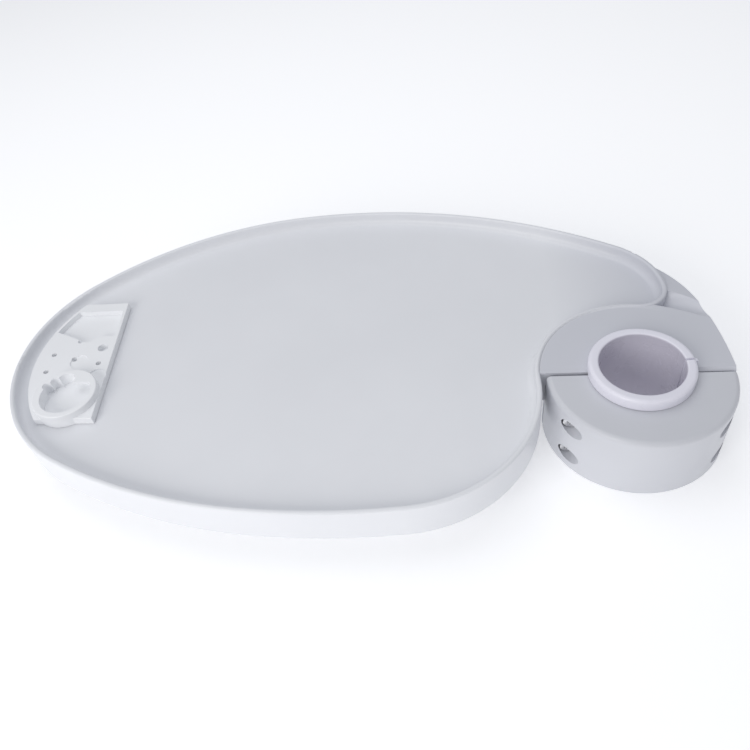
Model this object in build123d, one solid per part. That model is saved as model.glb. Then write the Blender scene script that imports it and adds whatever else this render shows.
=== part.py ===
from build123d import *
import os
from math import radians, sin, cos, sqrt

# Post-mounted instrument tray. A shallow palette-shaped tray carries the rear half of
# a split collar on its right end. A separate cap closes the collar in front, held by four
# screws, and a flanged split sleeve between them grips the upright post of a treatment
# unit. A lift-out bur rack with a cup sits at the tray's left end.
#
# Millimetres. The origin is on the post's axis at the collar's top face, +Z up. The tray
# lies on the -X side, and the collar's halves part along X.

# ---- sleeve -------------------------------------------------------------------------------
post_radius = 25.0            # the sleeve grips a 50 mm post
sleeve_wall = 3.2
flange_radius = 31.2
flange_top = 7.9
flange_bottom = 0.3           # the flange hovers just above the collar's top face
flange_round = 2.2
bore_chamfer = 0.8
slit_width = 1.6
slit_angle = 5.0              # degrees round the sleeve, from +X
lug_size = (4.6, 2.4, 3.4)    # small lug on the flange, beside the slit

# ---- split collar -------------------------------------------------------------------------
running_clearance = 0.06      # radial, between the sleeve and the collar
collar_radius = 55.5
collar_bottom = -47.5
collar_round = 3.0            # the cap's top outer edge
foot_round = 1.2              # the collar's bottom outer edges
rear_face = 1.2               # where the rear half stops, behind the axis
cap_face = -0.8               # where the cap stops, in front of it
split_chamfer = 0.7
rear_chamfer = 1.9            # the rear half's top edge, right of the post
collar_wall = 3.4             # skin round the pockets cored out from below
pocket_reach = 34.0           # the pockets stop this far each side of the axis
web_thickness = 2.4           # ribs between the pockets
web_turns = (-32, 0, 32)

# ---- tray ---------------------------------------------------------------------------------
rim_top = 0.8                 # the rim stands just proud of the collar's top face
rim_wall = 3.2
rim_round = 1.4
skirt_bottom = -25.0
skirt_round = 0.8
floor_top = -8.0
floor_wall = 2.6
floor_round = 4.5
nest_radius = 59.2            # the rim's concave stretch round the collar
corner_angle = 82.3           # where the outline leaves that stretch, degrees from +X
# The rest of the outline, as (radius, turn to the left in degrees), from the corner beside
# the collar round the back, the left end and the front.
rim_arcs = [
    (20.5, 97.5),
    (55.5, 56.3),
    (358.0, 40.1),
    (251.0, 40.4),
    (105.6, 56.5),
    (108.0, 50.0),
    (347.0, 21.2),
    (454.0, 12.2),
]
# The web between the tray's back and the collar's right side, turning to the right.
web_arcs = [(96.7, -40.6), (264.8, -15.5)]
web_inside = [(0, -10), (-30, 80)]      # corners that close its plan inside tray and collar
web_crest = 76.0              # beyond this radius the web's top falls away from the post
web_fall = 0.13               # millimetres down per millimetre out
gully_radius = 72.0           # a round gully follows the collar's back edge
gully_tube = 9.0
gully_depth = 0.8             # where it runs out, from there it deepens towards the rim's corner
gully_end = 44.0              # degrees from +X
gully_tilt = 13.5
web_underside = -11.5
web_pocket_inner = 62.0       # radius where the pocket under the web begins

rib_thickness = 2.0
rib_depth = 8.0
rib_pitch = 62.0
rib_columns = range(-6, -1)
rib_rows = (0, 1)

# ---- clamp screws, M5 socket heads, one above the other each side of the post ---------------
screw_x = 43.5
screw_levels = {"upper": -12.0, "lower": -36.0}
screw_radius = 2.5
screw_hole_radius = 2.75
screw_length = 36.0
head_radius = 4.25
head_length = 5.0
head_round = 0.5
socket_flats = 4.0
socket_depth = 2.6
tip_chamfer = 0.6
seat_y = -22.0                # the cap's face under the washers
counterbore_radius = 5.2
washer_radius = 4.9
washer_thickness = 1.0
bush_radius = 3.6             # threaded brass bush in the rear half
bush_bore_clearance = 0.04
bush_length = 10.0
bush_recess = 2.0
screw_run_out = 4.0           # the hole goes on past the screw's tip

# ---- bur rack -----------------------------------------------------------------------------
rack_gap = 0.3                # under the rack
rack_inset = 11.0             # from the rim's outside
rack_top = -2.6
rack_right = ((-355.8, 100.0), (-342.4, -40.0))
rack_back = 88.0
rack_front = -25.5
rack_round = 0.5
cup_outer = (-367.5, -7.0, 21.5)        # x, y, radius
cup_inner = (-366.7, -7.5, 17.0)
cup_top = 2.4
cup_floor = -6.4
cup_round = 0.9
shelf_y = 2.5                 # a shelf closes the cup's back beyond this line
shelf_thickness = 2.2
shelf_notches = [(-370.5, 4.5, 6.2), (-378.0, 3.8, 3.2), (-382.5, -0.5, 3.0)]
bur_hole_radius = 1.9
bur_holes = [(-378.1, 47.2), (-393.0, 34.2), (-376.2, 29.5), (-356.6, 24.6), (-392.6, 17.6)]
wide_hole = (-358.6, 40.2)
wide_hole_radius = 3.8
hole_floor = -7.0
dimple_depth = 0.7
dimple_radius = 6.5
dimples = [(-371.5, 26.5), (-353.8, 12.5)]
trough_wall = 2.4
trough_back = 79.4
trough_floor = -6.6
trough_front = [(-340, 52.6), (-366.3, 51.9), (-371.0, 46.5), (-375.5, 46.5), (-389.6, 53.5),
                (-405, 60.0)]

far = 500.0                   # beyond the whole part, for blocks that trim it


# ---- helpers ------------------------------------------------------------------------------
def between(lower, upper, face):
    """The face, extruded from one height to another."""
    return Pos(0, 0, lower) * extrude(face, upper - lower, dir=(0, 0, 1))


def disc(x, y, radius):
    return Pos(x, y) * Circle(radius)


def arc_chain(point, direction, arcs):
    """Arcs, each carrying on smoothly from the last. A turn to the left is positive."""
    edges = []
    for radius, turn in arcs:
        edges.append(JernArc(point, direction, radius, turn))
        point = edges[-1] @ 1
        direction = edges[-1] % 1
    return edges


def rim_edges(inset):
    """The rim's outline, moved inwards. The tray is on the left of its direction."""
    nest = nest_radius + inset
    leave = radians(corner_angle)
    start = Vector(nest * cos(leave), nest * sin(leave))
    heading = Vector(sin(leave), -cos(leave))
    edges = arc_chain(start, heading, [(radius - inset, turn) for radius, turn in rim_arcs])
    # The last arc turns left until it touches the nest circle from outside.
    point = edges[-1] @ 1
    normal = (edges[-1] % 1).rotate(Axis.Z, 90)
    radius = (point.length**2 - nest**2) / (2 * (nest - point.dot(normal)))
    centre = point + normal * radius
    touch = centre.normalized() * nest
    turn = (point - centre).get_signed_angle(touch - centre, Vector(0, 0, 1)) % 360
    edges += arc_chain(point, edges[-1] % 1, [(radius, turn)])
    middle = (start + touch).normalized() * nest
    edges.append(ThreePointArc(edges[-1] @ 1, middle, start))
    return edges


def rim_outline(inset):
    return make_face(rim_edges(inset))


def side_of_split(front):
    """A block that covers one side of the split, for trimming the collar's halves."""
    middle = cap_face - far / 2 if front else rear_face + far / 2
    return Pos(0, middle, 0) * Box(far, far, far)


def along_y(x, z, radius, start, end):
    """A cylinder parallel to Y."""
    return Pos(x, (start + end) / 2, z) * Rot(90, 0, 0) * Cylinder(radius, end - start)


def screw_places():
    """Name and place of each clamp screw."""
    for side, x in (("left", -screw_x), ("right", screw_x)):
        for level, z in screw_levels.items():
            yield f"{side}_{level}", x, z


def edges_at(shape, height):
    """Edges that lie wholly at one height."""
    return shape.edges().filter_by_position(Axis.Z, height - 0.01, height + 0.01)


def collar_pockets(front):
    """What is cored out of a collar half from below. Radial ribs stay between."""
    ring = Circle(collar_radius - collar_wall) - Circle(post_radius + sleeve_wall + collar_wall)
    pockets = between(collar_bottom, -collar_wall, ring)
    side = -1 if front else 1
    depth = collar_radius
    skin = collar_wall + abs(cap_face)
    window = Pos(0, side * (depth / 2 + skin), 0) * Box(2 * pocket_reach, depth, 4 * depth)
    pockets = pockets & window
    for turn in web_turns:
        rib = Box(web_thickness, depth, 4 * depth)
        pockets -= Rot(0, 0, turn) * Pos(0, side * depth / 2, 0) * rib
    return pockets


def collar_bore():
    radius = post_radius + sleeve_wall + running_clearance
    bore = between(collar_bottom - 1, rim_top + 1, Circle(radius))
    mouth = Pos(0, 0, -bore_chamfer / 2) * Cone(radius, radius + bore_chamfer, bore_chamfer)
    return bore + mouth


# ---- the tray, with the rear half of the collar ---------------------------------------------
def make_deck():
    """The dish, its rim and its skirt."""
    inner = rim_outline(rim_wall)
    deck = between(skirt_bottom, rim_top, rim_outline(0))
    deck = fillet(edges_at(deck, rim_top), rim_round)
    deck = fillet(edges_at(deck, skirt_bottom), skirt_round)
    dish = between(floor_top, rim_top + 1, inner)
    dish = fillet(edges_at(dish, floor_top), floor_round)
    deck -= dish
    top = deck.faces().sort_by(Axis.Z)[-1]
    deck = fillet(top.inner_wires()[0].edges(), rim_round)
    deck -= between(skirt_bottom, floor_top - floor_wall, inner)
    return deck


def web_outline():
    """Plan of the web, from the tray's back to the collar's right side."""
    back = rim_edges(0)[1]
    arcs = arc_chain(back @ 1, -(back % 1), web_arcs)
    end = arcs[-1] @ 1
    below = (end.X, web_inside[0][1])
    return make_face([*arcs, Polyline(end, below, *web_inside, arcs[0] @ 0)])


def make_web():
    """The web, whose top is a cone round the post. A torus, tilted about the line where it
    barely touches, cuts the gully between the web and the collar."""
    web = between(skirt_bottom, 0, web_outline())
    height = -skirt_bottom
    web = web & Pos(0, 0, -height / 2) * Cone(web_crest + height / web_fall, web_crest, height)
    tilt = Rot(0, 0, gully_end) * Rot(-gully_tilt, 0, 0)
    gully = Pos(0, 0, gully_tube - gully_depth) * Torus(gully_radius, gully_tube)
    return web - tilt * gully


def web_pocket():
    """The web's underside, cored out to leave its skirt and its top."""
    back = rim_edges(collar_wall)[1]
    turns = [(radius - collar_wall, turn) for radius, turn in web_arcs]
    arcs = arc_chain(back @ 1, -(back % 1), turns)
    end = arcs[-1] @ 1
    plan = make_face([*arcs, Polyline(end, (0, end.Y), web_inside[1], arcs[0] @ 0)])
    plan -= Circle(web_pocket_inner)
    plan -= rim_outline(-collar_wall / 2)
    return between(skirt_bottom - 1, web_underside, plan)


def underside_ribs():
    """A grid of ribs under the dish."""
    lower = floor_top - floor_wall - rib_depth
    middle = lower + rib_depth / 2
    grid = Part()
    for column in rib_columns:
        grid += Pos(column * rib_pitch, 0, middle) * Box(rib_thickness, far, rib_depth)
    for row in rib_rows:
        grid += Pos(0, row * rib_pitch, middle) * Box(2 * far, rib_thickness, rib_depth)
    return grid & between(lower, floor_top - floor_wall, rim_outline(rim_wall / 2))


def make_tray_body():
    deck = make_deck() + underside_ribs()
    left = Pos(-far / 2, 0) * Rectangle(far, far)
    hub = between(skirt_bottom, 0, Circle(nest_radius) & left) + make_web()
    hub -= between(skirt_bottom, rim_top, rim_outline(rim_wall / 2))
    hub += between(collar_bottom, skirt_bottom, Circle(collar_radius))
    hub = hub & side_of_split(front=False)
    body = deck + hub
    body -= collar_bore()
    edge = rear_chamfer * sqrt(2)
    body -= Pos(far / 2, rear_face, 0) * Rot(45, 0, 0) * Box(far, edge, edge)
    body -= collar_pockets(front=False)
    body -= web_pocket()
    for _, x, z in screw_places():
        mouth = rear_face + bush_recess + bush_length
        tip = seat_y - washer_thickness + screw_length
        body -= along_y(x, z, bush_radius, rear_face - 1, mouth)
        body -= along_y(x, z, screw_hole_radius, mouth - 1, tip + screw_run_out)
    return body


# ---- the front half of the collar -------------------------------------------------------------
def make_clamp_cap():
    cap = between(collar_bottom, 0, Circle(collar_radius))
    cap = fillet(edges_at(cap, 0), collar_round)
    cap = fillet(edges_at(cap, collar_bottom), foot_round)
    cap = cap & side_of_split(front=True)
    cap -= collar_bore()
    cap -= collar_pockets(front=True)
    faces = cap.faces().sort_by(Axis.Y)[-2:]        # the split's two faces
    rims = [edge for face in faces for edge in face.edges() if abs(edge.center().Z) < 1]
    cap = chamfer(rims, split_chamfer)
    for _, x, z in screw_places():
        cap -= along_y(x, z, screw_hole_radius, seat_y - 1, cap_face + 1)
        cap -= along_y(x, z, counterbore_radius, -collar_radius, seat_y)
    return cap


def make_post_sleeve():
    outer = post_radius + sleeve_wall
    sleeve = between(collar_bottom, flange_top, Circle(outer))
    flange = between(flange_bottom, flange_top, Circle(flange_radius))
    sleeve += fillet(edges_at(flange, flange_top), flange_round)
    height = flange_top - collar_bottom
    lug_length, lug_width, lug_height = lug_size
    lug_place = (flange_radius, slit_width / 2 + lug_width / 2, flange_bottom + lug_height / 2 + 1)
    sleeve += Rot(0, 0, slit_angle) * Pos(*lug_place) * Box(lug_length, lug_width, lug_height)
    sleeve -= between(collar_bottom, flange_top, Circle(post_radius))
    for level in (collar_bottom, flange_top):
        mouth = [e for e in edges_at(sleeve, level) if e.geom_type == GeomType.CIRCLE]
        sleeve = chamfer([e for e in mouth if abs(e.radius - post_radius) < 0.01], bore_chamfer)
    slit = Pos(post_radius + sleeve_wall, 0, 0) * Box(4 * sleeve_wall, slit_width, 3 * height)
    return sleeve - Rot(0, 0, slit_angle) * slit


# ---- fasteners, made about the screw's axis ------------------------------------------------------
def make_screw(x, z):
    under_head = seat_y - washer_thickness
    top = under_head - head_length
    shank = along_y(x, z, screw_radius, under_head, under_head + screw_length)
    shank = chamfer(shank.edges().sort_by(Axis.Y)[-1], tip_chamfer)
    head = along_y(x, z, head_radius, top, under_head)
    head = fillet(head.edges().sort_by(Axis.Y)[0], head_round)
    socket = extrude(RegularPolygon(socket_flats / sqrt(3), 6), socket_depth)
    return head + shank - Pos(x, top, z) * Rot(-90, 0, 0) * socket


def make_washer(x, z):
    start = seat_y - washer_thickness
    ring = along_y(x, z, washer_radius, start, seat_y)
    return ring - along_y(x, z, screw_hole_radius, start, seat_y)


def make_bush(x, z):
    start = rear_face + bush_recess
    bush = along_y(x, z, bush_radius, start, start + bush_length)
    return bush - along_y(x, z, screw_radius + bush_bore_clearance, start, start + bush_length)


# ---- bur rack -------------------------------------------------------------------------------
def left_of_line(line, shift):
    """Everything to the left of a line, moved left by shift."""
    edge = Line(*line)
    across = (edge % 0.5).rotate(Axis.Z, 90)
    if across.X > 0:
        across = -across
    turn = Vector(1, 0, 0).get_signed_angle(across, Vector(0, 0, 1))
    centre = (edge @ 0.5) + across * (shift + far / 2)
    return Pos(centre.X, centre.Y) * Rot(0, 0, turn) * Rectangle(far, far)


def rack_plan(inset):
    """The rack's plan, inset from its edges."""
    plan = rim_outline(rack_inset + inset) & left_of_line(rack_right, inset)
    depth = rack_back - rack_front - 2 * inset
    return plan & (Pos(-far / 2, (rack_back + rack_front) / 2) * Rectangle(far, depth))


def make_bur_rack():
    base = floor_top + rack_gap
    rack = between(base, rack_top, rack_plan(0))
    rack = fillet(edges_at(rack, rack_top), rack_round)

    back = Pos(-far / 2, trough_back - far / 2) * Rectangle(far, far)
    ends = [(trough_front[-1][0], far), (trough_front[0][0], far)]
    front = make_face(Polyline(*trough_front, *ends, close=True))
    trough = rack_plan(trough_wall) & back & front
    rack -= between(trough_floor, rack_top, trough)

    for x, y in dimples:
        rack -= between(rack_top - dimple_depth, rack_top, disc(x, y, dimple_radius))
    for x, y in bur_holes:
        rack -= between(hole_floor, rack_top, disc(x, y, bur_hole_radius))
    rack -= between(hole_floor, rack_top, disc(*wide_hole, wide_hole_radius))

    cup = between(base, cup_top, disc(*cup_outer))
    cup = fillet(edges_at(cup, cup_top), cup_round)
    bowl = between(cup_floor, cup_top, disc(*cup_inner))
    shelf_plan = disc(*cup_inner) & (Pos(cup_inner[0], shelf_y + far / 2) * Rectangle(far, far))
    for notch in shelf_notches:
        shelf_plan -= disc(*notch)
    shelf = between(cup_top - shelf_thickness, cup_top, shelf_plan)
    rack = rack + cup - bowl + shelf
    for notch in shelf_notches:
        rack -= between(cup_floor, cup_top, disc(*notch))
    return rack


# ---- everything --------------------------------------------------------------------------------
def make_parts():
    parts = {
        "tray_body": make_tray_body(),
        "clamp_cap": make_clamp_cap(),
        "post_sleeve": make_post_sleeve(),
        "bur_rack": make_bur_rack(),
    }
    for name, x, z in screw_places():
        parts[f"clamp_screw_{name}"] = make_screw(x, z)
        parts[f"washer_{name}"] = make_washer(x, z)
        parts[f"threaded_bush_{name}"] = make_bush(x, z)
    return parts


if __name__ == "__main__":
    os.makedirs("parts", exist_ok=True)
    for node, shape in make_parts().items():
        print(node, round(shape.volume), shape.is_valid, len(shape.solids()))
        export_step(shape, f"parts/{node}.step")
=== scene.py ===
import math
import bmesh
import bpy
import numpy as np
from mathutils import Matrix, Vector


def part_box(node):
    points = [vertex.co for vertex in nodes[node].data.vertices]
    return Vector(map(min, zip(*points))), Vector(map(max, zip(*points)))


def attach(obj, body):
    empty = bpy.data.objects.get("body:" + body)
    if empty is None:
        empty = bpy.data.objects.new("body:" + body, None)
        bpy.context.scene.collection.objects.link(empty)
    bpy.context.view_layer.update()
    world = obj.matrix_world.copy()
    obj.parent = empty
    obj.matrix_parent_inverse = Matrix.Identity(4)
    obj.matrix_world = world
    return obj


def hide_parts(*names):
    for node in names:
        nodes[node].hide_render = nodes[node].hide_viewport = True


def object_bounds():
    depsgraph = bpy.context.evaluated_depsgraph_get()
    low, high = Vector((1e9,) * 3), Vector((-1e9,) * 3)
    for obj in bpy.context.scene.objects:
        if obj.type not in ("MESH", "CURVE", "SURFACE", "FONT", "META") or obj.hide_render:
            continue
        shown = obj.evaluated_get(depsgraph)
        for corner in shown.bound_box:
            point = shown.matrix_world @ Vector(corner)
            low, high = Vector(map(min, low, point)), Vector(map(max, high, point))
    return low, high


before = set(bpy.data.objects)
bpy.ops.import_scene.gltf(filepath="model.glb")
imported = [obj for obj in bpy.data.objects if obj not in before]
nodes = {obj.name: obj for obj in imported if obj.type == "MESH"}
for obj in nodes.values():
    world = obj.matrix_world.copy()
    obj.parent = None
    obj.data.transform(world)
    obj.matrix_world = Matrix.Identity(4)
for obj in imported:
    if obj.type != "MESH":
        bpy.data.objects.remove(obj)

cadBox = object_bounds()
mm = 0.001
print("frame loaded:", len(nodes), "nodes")

# camera first: from above the tray's front edge, turned a little to the left
cameraPlace = dict(location=(-0.10432, -0.30530, 0.32484), down=45.95, turn=-10.516, roll=-9.156,
                   focal=34.166, sensor=36.0, nearest=0.01)


def makeCamera():
    down, turn, roll = (math.radians(cameraPlace[k]) for k in ("down", "turn", "roll"))
    ahead = Vector((math.sin(turn) * math.cos(down), math.cos(turn) * math.cos(down), -math.sin(down)))
    level = Vector((math.cos(turn), -math.sin(turn), 0))
    up = level.cross(ahead)
    right = level * math.cos(roll) + up * math.sin(roll)
    top = up * math.cos(roll) - level * math.sin(roll)
    data = bpy.data.cameras.new("camera")
    data.lens = cameraPlace["focal"]
    data.sensor_width = cameraPlace["sensor"]
    data.clip_start = cameraPlace["nearest"]
    camera = bpy.data.objects.new("camera", data)
    turned = Matrix((right, top, -ahead)).transposed().to_4x4()
    camera.matrix_world = Matrix.Translation(cameraPlace["location"]) @ turned
    bpy.context.scene.collection.objects.link(camera)
    bpy.context.scene.camera = camera


makeCamera()

# studio: a pale floor that glows a little, a wide key from the front left, a softer top light
studio = dict(
    floorSize=24.0, floorColour=(0.93, 0.935, 0.95), floorRough=0.9, floorGap=0.0002,
    glowColour=(1, 1, 1), floorGlow=0.30,
    sky=(0.93, 0.95, 1.0), skyStrength=0.44, skySeen=0.97,
    key=dict(place=(-0.80, -1.05, 0.62), aim=(-0.22, 0.0, -0.01), power=7.3, size=0.75,
             colour=(1.0, 0.985, 0.965)),
    top=dict(place=(-0.35, 0.35, 1.15), aim=(-0.22, 0.02, 0.0), power=4.0, size=1.1,
             colour=(0.96, 0.975, 1.0)),
)


def areaLight(name, spot):
    data = bpy.data.lights.new(name, "AREA")
    data.energy, data.size, data.color = spot["power"], spot["size"], spot["colour"]
    lamp = bpy.data.objects.new(name, data)
    aim = Vector(spot["aim"]) - Vector(spot["place"])
    lamp.matrix_world = Matrix.Translation(spot["place"]) @ aim.to_track_quat("-Z", "Y").to_matrix().to_4x4()
    bpy.context.scene.collection.objects.link(lamp)


def makeSky():
    world = bpy.data.worlds.new("sky")
    bpy.context.scene.world = world
    world.use_nodes = True
    tree = world.node_tree
    lights = tree.nodes["Background"]
    seen = tree.nodes.new("ShaderNodeBackground")       # a paler sky behind the floor's edge
    for back, strength in ((lights, studio["skyStrength"]), (seen, studio["skySeen"])):
        back.inputs["Color"].default_value = (*studio["sky"], 1)
        back.inputs["Strength"].default_value = strength
    rays, mix = tree.nodes.new("ShaderNodeLightPath"), tree.nodes.new("ShaderNodeMixShader")
    tree.links.new(rays.outputs["Is Camera Ray"], mix.inputs["Fac"])
    tree.links.new(lights.outputs["Background"], mix.inputs[1])
    tree.links.new(seen.outputs["Background"], mix.inputs[2])
    tree.links.new(mix.outputs["Shader"], tree.nodes["World Output"].inputs["Surface"])


def makeFloor():
    half, level = studio["floorSize"] / 2, cadBox[0][2] - studio["floorGap"]
    mesh = bpy.data.meshes.new("studioFloor")
    corners = [(-half, -half, level), (half, -half, level), (half, half, level), (-half, half, level)]
    mesh.from_pydata(corners, [], [(0, 1, 2, 3)])
    floor = bpy.data.objects.new("studioFloor", mesh)
    bpy.context.scene.collection.objects.link(floor)
    paint = bpy.data.materials.new("paleFloor")
    paint.use_nodes = True
    tree = paint.node_tree
    shader = tree.nodes["Principled BSDF"]
    shader.inputs["Base Color"].default_value = (*studio["floorColour"], 1)
    shader.inputs["Roughness"].default_value = studio["floorRough"]
    shader.inputs["Emission Color"].default_value = (*studio["glowColour"], 1)
    shader.inputs["Emission Strength"].default_value = studio["floorGlow"]
    clear, mix = tree.nodes.new("ShaderNodeBsdfTransparent"), tree.nodes.new("ShaderNodeMixShader")
    side = tree.nodes.new("ShaderNodeNewGeometry")      # clear from below, so the underside shows
    tree.links.new(side.outputs["Backfacing"], mix.inputs["Fac"])
    tree.links.new(shader.outputs["BSDF"], mix.inputs[1])
    tree.links.new(clear.outputs["BSDF"], mix.inputs[2])
    tree.links.new(mix.outputs["Shader"], tree.nodes["Material Output"].inputs["Surface"])
    mesh.materials.append(paint)


makeSky()
areaLight("keyLight", studio["key"])
areaLight("topLight", studio["top"])
makeFloor()
bpy.context.scene.view_settings.view_transform = "Standard"
print("studio ready")

# finishes: colour, how far the colour drifts, roughness and its drift, grain size and depth in mm.
# Where there is a grey, it is painted shade: it fills the inside of the inner radius round the post's axis,
# fading out to the outer one (the tray's collar half, the sleeve's bore), and fades in over the X span
# towards the dimmer right, in mm
finishes = dict(
    trayAbs=dict(colour=(0.84, 0.85, 0.88), drift=(0.82, 0.83, 0.86), rough=(0.30, 0.42),
                 grain=1.1, depth=0.012, scuffs=0.35,
                 # painted shade: the collar half and the tray's right side are greyed, darker where the key
                 # light falls off
                 shadeGrey=(0.655, 0.665, 0.715), shadeWithin=(59.8, 58.5), shadeBeyondX=(-45.0, 25.0)),
    capAbs=dict(colour=(0.67, 0.68, 0.72), drift=(0.65, 0.66, 0.70), rough=(0.32, 0.44),
                grain=1.0, depth=0.012, scuffs=0.2),
    sleeveNylon=dict(colour=(0.88, 0.87, 0.95), drift=(0.85, 0.84, 0.92), rough=(0.24, 0.34),
                     grain=1.6, depth=0.010, scuffs=0.15,
                     # painted shade: the bore is greyed, darker where it lies in shade
                     shadeGrey=(0.62, 0.60, 0.68), shadeWithin=(25.6, 25.1)),
    rackAbs=dict(colour=(0.94, 0.95, 0.97), drift=(0.91, 0.92, 0.94), rough=(0.30, 0.42),
                 grain=0.9, depth=0.014, scuffs=0.15),
)
# what all the moulded finishes share: lump sizes in mm, noise detail, how strongly each shows
moulded = dict(
    cloud=90.0, cloudDetail=3.0, gloss=14.0, glossDetail=4.0, peelDetail=2.0, peelShows=0.35,
    scuff=1.6, scuffDetail=1.0, scuffStretch=(0.04, 1.0, 1.0), scuffFrom=0.60, scuffFull=0.72,
    scuffDulls=0.25, ior=1.5, specular=0.42,
)
metals = dict(
    screwSteel=dict(colour=(0.80, 0.80, 0.81), rough=(0.34, 0.50), linesPerMm=3.36),
    washerSteel=dict(colour=(0.78, 0.78, 0.79), rough=(0.30, 0.44), linesPerMm=2.4),
    bushBrass=dict(colour=(0.62, 0.45, 0.20), rough=(0.24, 0.40), linesPerMm=4.0),
)
# what the turned metals share: the slow tint's lump size in mm and its range, the lathe's lines
turned = dict(
    tint=3.0, tintDetail=3.0, darkest=0.86, palest=1.08, lineDetail=1.0,
    lineStretch=(0.15, 1.0, 0.15), lineShows=0.3, lineDepth=0.006,
)
noiseLow, noiseHigh = 0.35, 0.65        # most of a noise texture lies between these


# a new material with its Principled shader, and two helpers: add makes a node and sets its
# properties or inputs by name, link joins two sockets
def nodeKit(name):
    material = bpy.data.materials.new(name)
    material.use_nodes = True
    tree = material.node_tree
    shader = tree.nodes["Principled BSDF"]

    def add(kind, **settings):
        node = tree.nodes.new(kind)
        for key, value in settings.items():
            if hasattr(node, key):
                setattr(node, key, value)
            else:
                node.inputs[key].default_value = value
        return node

    return material, shader, add, tree.links.new


# noise whose lumps are about size millimetres across
def noise(add, link, where, size, detail, stretch=None):
    node = add("ShaderNodeTexNoise", Scale=1.0 / (size * mm), Detail=detail)
    if stretch:
        mapping = add("ShaderNodeMapping", Scale=stretch)
        link(where, mapping.inputs["Vector"])
        where = mapping.outputs["Vector"]
    link(where, node.inputs["Vector"])
    return node.outputs["Fac"]


# carries a value from one range to another: fromLow becomes low, and fromHigh becomes high
def spread(add, link, value, low, high, fromLow=noiseLow, fromHigh=noiseHigh):
    node = add("ShaderNodeMapRange")
    node.inputs["From Min"].default_value, node.inputs["From Max"].default_value = fromLow, fromHigh
    node.inputs["To Min"].default_value, node.inputs["To Max"].default_value = low, high
    link(value, node.inputs["Value"])
    return node.outputs["Result"]


# painted shade: the colour made greyer by place, wholly inside the smaller radius round Z and fading out to
# the larger one, or fading in along X, whichever is more; it darkens the shaded collar half, bore and right
# side
def shadeByPlace(add, link, where, colour, look):
    flat = add("ShaderNodeVectorMath", operation="MULTIPLY")
    flat.inputs[1].default_value = (1, 1, 0)
    link(where, flat.inputs[0])
    radius = add("ShaderNodeVectorMath", operation="LENGTH")
    link(flat.outputs["Vector"], radius.inputs[0])
    outer, inner = (r * mm for r in look["shadeWithin"])
    shadeAmount = spread(add, link, radius.outputs["Value"], 1.0, 0.0, inner, outer)
    if "shadeBeyondX" in look:
        axes = add("ShaderNodeSeparateXYZ")
        link(where, axes.inputs["Vector"])
        start, end = (x * mm for x in look["shadeBeyondX"])
        most = add("ShaderNodeMath", operation="MAXIMUM")
        link(shadeAmount, most.inputs[0])
        link(spread(add, link, axes.outputs["X"], 0.0, 1.0, start, end), most.inputs[1])
        shadeAmount = most.outputs["Value"]
    shadedColour = add("ShaderNodeMix", data_type="RGBA")
    shadedColour.inputs["B"].default_value = (*look["shadeGrey"], 1)
    link(shadeAmount, shadedColour.inputs["Factor"])
    link(colour, shadedColour.inputs["A"])
    return shadedColour.outputs["Result"]


# satin moulded plastic: slow noise drifts the colour, finer noise the gloss, and the bump is the
# mould's fine orange peel. Hair scuffs, mostly along X where the tray is wiped, dull the gloss
def mouldedPlastic(name):
    look, k = finishes[name], moulded
    material, shader, add, link = nodeKit(name)
    where = add("ShaderNodeTexCoord").outputs["Object"]
    cloud = spread(add, link, noise(add, link, where, k["cloud"], k["cloudDetail"]), 0.0, 1.0)
    mix = add("ShaderNodeMix", data_type="RGBA")
    mix.inputs["A"].default_value = (*look["colour"], 1)
    mix.inputs["B"].default_value = (*look["drift"], 1)
    link(cloud, mix.inputs["Factor"])
    colour = mix.outputs["Result"]
    # painted shade, on the finishes that have one: greyer by place where the light falls off or the bore is
    # shaded
    if "shadeGrey" in look:
        colour = shadeByPlace(add, link, where, colour, look)
    link(colour, shader.inputs["Base Color"])

    scuff = noise(add, link, where, k["scuff"], k["scuffDetail"], k["scuffStretch"])
    scuff = spread(add, link, scuff, 0.0, look["scuffs"], k["scuffFrom"], k["scuffFull"])
    gloss = spread(add, link, noise(add, link, where, k["gloss"], k["glossDetail"]), *look["rough"])
    dull = add("ShaderNodeMath", operation="MULTIPLY_ADD")
    link(scuff, dull.inputs[0])
    dull.inputs[1].default_value = k["scuffDulls"]
    link(gloss, dull.inputs[2])
    link(dull.outputs["Value"], shader.inputs["Roughness"])

    bump = add("ShaderNodeBump", Strength=k["peelShows"], Distance=look["depth"] * mm)
    link(noise(add, link, where, look["grain"], k["peelDetail"]), bump.inputs["Height"])
    link(bump.outputs["Normal"], shader.inputs["Normal"])
    shader.inputs["IOR"].default_value = k["ior"]
    shader.inputs["Specular IOR Level"].default_value = k["specular"]
    return material


# plain turned metal: the lathe's lines run round the Y axis, so their noise is drawn out in X and
# Z and stays fine along Y. The same lines drive the gloss and the bump
def turnedMetal(name):
    look, k = metals[name], turned
    material, shader, add, link = nodeKit(name)
    where = add("ShaderNodeTexCoord").outputs["Object"]
    tint = noise(add, link, where, k["tint"], k["tintDetail"])
    scale = add("ShaderNodeVectorMath", operation="SCALE")
    scale.inputs[0].default_value = look["colour"]
    link(spread(add, link, tint, k["darkest"], k["palest"]), scale.inputs["Scale"])
    link(scale.outputs["Vector"], shader.inputs["Base Color"])
    shader.inputs["Metallic"].default_value = 1.0
    lines = noise(add, link, where, 1 / look["linesPerMm"], k["lineDetail"], k["lineStretch"])
    link(spread(add, link, lines, *look["rough"]), shader.inputs["Roughness"])
    bump = add("ShaderNodeBump", Strength=k["lineShows"], Distance=k["lineDepth"] * mm)
    link(lines, bump.inputs["Height"])
    link(bump.outputs["Normal"], shader.inputs["Normal"])
    return material


materials = {name: mouldedPlastic(name) for name in finishes}
materials.update({name: turnedMetal(name) for name in metals})

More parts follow.
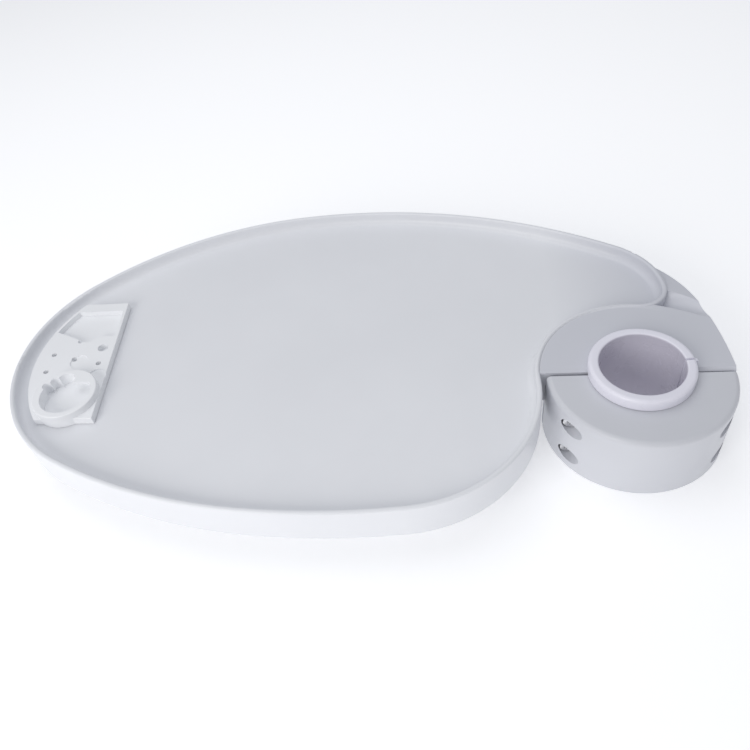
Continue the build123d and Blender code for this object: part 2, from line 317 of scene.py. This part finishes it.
# the nodes that stay as they are; new pieces take the place of all the others
dressed = dict(tray_body="trayAbs", clamp_cap="capAbs", bur_rack="rackAbs")
for node, finish in dressed.items():
    for slot in nodes[node].material_slots:
        slot.material = materials[finish]
print("finishes on", len(dressed), "nodes")


# quads between neighbouring points of a grid, row by row
def gridFaces(rows, columns, wrapRows=False, wrapColumns=False):
    i = np.arange(rows if wrapRows else rows - 1)[:, None]
    j = np.arange(columns if wrapColumns else columns - 1)[None, :]
    below, beside = (i + 1) % rows, (j + 1) % columns
    corners = [i * columns + j, i * columns + beside, below * columns + beside, below * columns + j]
    return np.stack(corners, -1).reshape(-1, 4)


# joins patches of (points in mm, faces) in one mesh, turns its faces outwards, and hands it to
# its body in place of the node that it stands for; edges past sharp degrees stay crisp
def makePiece(name, patches, body, finish, stands, sharp=38.0):
    points, faces, first = [], [], 0
    for patchPoints, patchFaces in patches:
        points.append(patchPoints.reshape(-1, 3) * mm)
        faces += [[first + int(k) for k in face] for face in patchFaces]
        first += len(points[-1])
    mesh = bpy.data.meshes.new(name)
    mesh.from_pydata(np.concatenate(points).tolist(), [], faces)
    work = bmesh.new()
    work.from_mesh(mesh)
    bmesh.ops.recalc_face_normals(work, faces=work.faces)
    work.to_mesh(mesh)
    work.free()
    mesh.shade_smooth()
    mesh.set_sharp_from_angle(angle=math.radians(sharp))
    mesh.materials.append(materials[finish])
    piece = bpy.data.objects.new(name, mesh)
    bpy.context.scene.collection.objects.link(piece)
    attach(piece, body)
    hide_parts(*stands)


# points in even steps from start up to, but not including, end
def even(start, end, count):
    steps = np.linspace(0.0, 1.0, count, endpoint=False)[:, None]
    return np.asarray(start, float) + steps * (np.asarray(end, float) - np.asarray(start, float))


# a quarter circle in the profile's plane: the centre plus the radius times the cosine and sine of
# angles from fromAngle degrees on, both ends included
def quarter(centre, radius, fromAngle, count):
    angles = np.radians(fromAngle + 90.0 * np.linspace(0.0, 1.0, count + 1))
    return np.asarray(centre, float) + radius * np.stack([np.cos(angles), np.sin(angles)], 1)


# split sleeve: everything in mm, heights from the collar's top face
sleeve = dict(
    bore=25.0, outer=28.2, flange=31.2, foot=-47.5, under=0.3, top=7.9,
    shoulder=2.2, lip=1.3, footRound=0.5, cuff=0.4,      # radii of its rounded edges
    slitAt=5.0, slit=1.6, steps=240,                     # slitAt in degrees from X
    lug=dict(size=(4.6, 2.4, 3.4), lift=1.0, square=0.22, steps=(48, 32)),
)


# half section as (radius, height): up the outside, over the flange and down the bore. Rounded
# edges are quarter circles, and the walls between them are even steps; each line ends with how
# many steps it takes
def sleeveProfile():
    k = sleeve
    shoulder, lip, foot, cuff = k["shoulder"], k["lip"], k["footRound"], k["cuff"]
    return np.concatenate([
        quarter((k["outer"] - foot, k["foot"] + foot), foot, -90, 4),
        even((k["outer"], k["foot"] + 2 * foot), (k["outer"], k["under"]), 20),
        even((k["outer"], k["under"]), (k["flange"] - cuff, k["under"]), 3),
        quarter((k["flange"] - cuff, k["under"] + cuff), cuff, -90, 4),
        even((k["flange"], k["under"] + 2 * cuff), (k["flange"], k["top"] - shoulder), 5),
        quarter((k["flange"] - shoulder, k["top"] - shoulder), shoulder, 0, 12),
        quarter((k["bore"] + lip, k["top"] - lip), lip, 90, 8),
        even((k["bore"], k["top"] - 2 * lip), (k["bore"], k["foot"] + foot), 24),
        quarter((k["bore"] + foot, k["foot"] + foot), foot, 180, 4),
    ])


# superellipsoid: each axis is a sine or cosine raised to a small power, which pushes the surface
# out to the faces of a box and leaves its edges round
def roundedBlock(size, square, steps):
    across, along = steps
    u = np.linspace(0.0, 2 * np.pi, across, endpoint=False)[None, :]
    v = np.linspace(-np.pi / 2, np.pi / 2, along + 1)[1:-1, None]

    def power(value):
        return np.sign(value) * np.abs(value) ** square

    x = power(np.cos(v)) * power(np.cos(u))
    y = power(np.cos(v)) * power(np.sin(u))
    z = power(np.sin(v)) * np.ones_like(u)
    points = np.stack([x, y, z], -1) * np.asarray(size) / 2
    faces = gridFaces(along - 1, across, wrapColumns=True).tolist()
    last = (along - 2) * across
    faces += [list(range(across)), list(range(last, last + across))]
    return points, faces


# the half section swung round Z, with a small lug on the flange beside the slit. The slit's faces
# stay parallel, so the swing starts and ends at the angle whose sine is half the slit over the radius
def makeSleeve():
    k = sleeve
    profile = sleeveProfile()
    radius = profile[:, 0][:, None]
    gap = np.arcsin(k["slit"] / 2 / radius)
    part = np.linspace(0.0, 1.0, k["steps"] + 1)[None, :]
    angle = np.radians(k["slitAt"]) + gap + part * (2 * np.pi - 2 * gap)
    height = np.broadcast_to(profile[:, 1][:, None], angle.shape)
    points = np.stack([radius * np.cos(angle), radius * np.sin(angle), height], -1)
    rows, columns = angle.shape
    faces = gridFaces(rows, columns, wrapRows=True).tolist()
    faces.append([row * columns for row in range(rows)])
    faces.append([row * columns + columns - 1 for row in range(rows)])

    lug = k["lug"]
    block, blockFaces = roundedBlock(lug["size"], lug["square"], lug["steps"])
    rise = k["under"] + lug["lift"] + lug["size"][2] / 2
    block = block + (k["flange"], (k["slit"] + lug["size"][1]) / 2, rise)
    turn = np.radians(k["slitAt"])
    swing = np.array([[np.cos(turn), np.sin(turn), 0], [-np.sin(turn), np.cos(turn), 0], [0, 0, 1]])
    patches = [(points, faces), (block @ swing, blockFaces)]
    makePiece("splitSleeve", patches, "sleeve", "sleeveNylon", ["post_sleeve"])


makeSleeve()
print("sleeve made")

# clamp fasteners, in mm; distances run along each axis, from the top of the screw's head
fastener = dict(
    ringSteps=120, pitch=0.8, threadDepth=0.40, ringsPerPitch=8, sharp=50.0,
    # screw's head: the socket's chamfer is (out, down), and the face ends in a rounded edge
    head=4.25, headLength=5.0, headRound=0.5, headSteps=6, faceInset=0.4, headChamfer=0.15,
    socket=4.0, socketDepth=2.6, socketChamfer=(0.15, 0.25),
    # knurl: its gap to the rounded edge and to the head's underside, its rise and fall by rows
    knurls=30, knurlDepth=0.16, knurlGap=(0.4, 0.5), knurlRise=(0, 0.7, 1, 1, 1, 1, 1, 1, 0.7, 0),
    # shank: the thread starts a little past the plain part and fades in over some pitches
    shank=2.5, neck=0.25, plain=13.0, length=41.0, tip=0.6, threadStart=0.1, threadFade=2,
    washerBore=2.75, washerRound=0.18, washerSteps=4,
    bushBore=2.54, bushThread=0.6, bushRows=41, bushKnurls=24, bushKnurlDepth=0.14, bushWind=3,
    bushRunOut=0.8, bushChamfer=0.25,
)


def ringAngles():
    return np.linspace(0.0, 2 * np.pi, fastener["ringSteps"], endpoint=False)[None, :]


# rings round an axis parallel to Y: along is each ring's distance and radius its size, which may
# change with the angle, so a point is at radius times the cosine and sine of its angle
def swingRound(place, along, radius):
    angle = ringAngles()
    radius = np.broadcast_to(radius, (len(along), angle.size))
    x, y, z = place
    return np.stack([x + radius * np.cos(angle), y + along[:, None] + 0 * radius,
                     z + radius * np.sin(angle)], -1)


# a hexagon's radius at each angle: half its width over the cosine of the angle from the middle of
# the nearest side
def hexagon(flats):
    angle = (ringAngles() + np.pi / 6) % (np.pi / 3) - np.pi / 6
    return flats / 2 / np.cos(angle)


# depth of a thread from 0 at its crest to 1: a cosine of the angle less the distance along the
# axis over the pitch, so the crest climbs as a helix
def threadHelix(along):
    return 0.5 - 0.5 * np.cos(ringAngles() - 2 * np.pi * along / fastener["pitch"])


# the two flat faces that close a stack of rings
def ends(rows):
    columns = fastener["ringSteps"]
    return [list(range(columns)), list(range((rows - 1) * columns, rows * columns))]


# rings as (distance, radius) from the socket's floor, over the knurled head and down the threaded
# shank. The head's knurl is a cosine of the angle times the number of knurls
def makeScrew(side, place):
    k = fastener
    plainRing = np.ones((1, k["ringSteps"]))
    socket, (out, inwards) = hexagon(k["socket"]), k["socketChamfer"]
    top = k["head"] - k["headRound"]
    rows = [(k["socketDepth"], socket), (inwards, socket), (0.0, socket + out),
            (0.0, (top - k["faceInset"]) * plainRing)]
    bend = quarter((top, k["headRound"]), k["headRound"], -90, k["headSteps"])
    rows += [(y, r * plainRing) for r, y in bend]
    knurl = 0.5 - 0.5 * np.cos(k["knurls"] * ringAngles())
    low, high = k["headRound"] + k["knurlGap"][0], k["headLength"] - k["knurlGap"][1]
    for y, depth in zip(np.linspace(low, high, len(k["knurlRise"])), k["knurlRise"]):
        rows.append((y, k["head"] - depth * k["knurlDepth"] * knurl))
    rows += [(k["headLength"] - k["headChamfer"], k["head"] * plainRing),
             (k["headLength"], (k["head"] - k["headChamfer"]) * plainRing),
             (k["headLength"], (k["shank"] + k["neck"]) * plainRing),
             (k["headLength"] + k["neck"], k["shank"] * plainRing),
             (k["plain"], k["shank"] * plainRing)]
    turns = (k["length"] - k["tip"] - k["plain"]) / k["pitch"]
    threadRings = int(turns * k["ringsPerPitch"])
    for y in np.linspace(k["plain"] + k["threadStart"], k["length"] - k["tip"], threadRings):
        fade = min(1.0, (y - k["plain"]) / (k["threadFade"] * k["pitch"]))
        rows.append((y, k["shank"] - fade * k["threadDepth"] * threadHelix(y)))
    rows.append((k["length"], (k["shank"] - k["tip"]) * plainRing))
    along = np.array([y for y, _ in rows])
    points = swingRound(place, along, np.concatenate([r for _, r in rows]))
    faces = gridFaces(len(rows), k["ringSteps"], wrapColumns=True).tolist() + ends(len(rows))
    makePiece("capScrew_" + side, [(points, faces)], "cap", "screwSteel",
              ["clamp_screw_" + side], sharp=k["sharp"])


# a flat ring with every edge rounded: a loop of four quarter circles carried round the axis
def makeWasher(side, place, outer, thickness):
    k = fastener
    r, bore, steps = k["washerRound"], k["washerBore"], k["washerSteps"]
    loop = np.concatenate([
        quarter((bore + r, r), r, 180, steps), quarter((outer - r, r), r, 270, steps),
        quarter((outer - r, thickness - r), r, 0, steps), quarter((bore + r, thickness - r), r, 90, steps)])
    points = swingRound(place, loop[:, 1], loop[:, 0][:, None])
    faces = gridFaces(len(loop), k["ringSteps"], wrapRows=True, wrapColumns=True).tolist()
    makePiece("washerRing_" + side, [(points, faces)], "cap", "washerSteel",
              ["washer_" + side])


# a knurled tube with a helical groove in its bore. The knurl is the product of two cosines that
# wind opposite ways, so its grooves cross, and it runs out to a chamfer at both ends
def makeBush(side, place, outer, length):
    k = fastener
    around = k["bushKnurls"] * ringAngles() / 2
    across = np.linspace(0.0, length, k["bushRows"])[:, None]
    wind = k["bushWind"] * (across / length * np.pi * 2)
    cross = np.cos(around + wind) * np.cos(around - wind)
    edge = np.clip(np.minimum(across, length - across) / k["bushRunOut"], 0.0, 1.0)
    outside = outer - edge * k["bushKnurlDepth"] * (0.5 - 0.5 * cross) - (1 - edge) * k["bushChamfer"]
    bore = np.linspace(length, 0.0, int(length / k["pitch"] * k["ringsPerPitch"]))[:, None]
    edge = np.clip(np.minimum(bore, length - bore) / k["pitch"], 0.0, 1.0)
    inside = k["bushBore"] + edge * k["threadDepth"] * k["bushThread"] * threadHelix(bore)
    along = np.concatenate([across, bore])[:, 0]
    points = swingRound(place, along, np.concatenate([outside, inside]))
    faces = gridFaces(len(along), k["ringSteps"], wrapRows=True, wrapColumns=True).tolist()
    makePiece("threadedBush_" + side, [(points, faces)], "tray", "bushBrass",
              ["threaded_bush_" + side], sharp=k["sharp"])


# where a fastener's axis starts, from its node's box, in mm, with its radius and length
def axisOf(node):
    low, high = (np.array(c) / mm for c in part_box(node))
    middle = (low + high) / 2
    return (middle[0], low[1], middle[2]), (high[0] - low[0]) / 2, high[1] - low[1]


for side in ("left_upper", "left_lower", "right_upper", "right_lower"):
    makeScrew(side, axisOf("clamp_screw_" + side)[0])
    makeWasher(side, *axisOf("washer_" + side))
    makeBush(side, *axisOf("threaded_bush_" + side))
print("fasteners made")
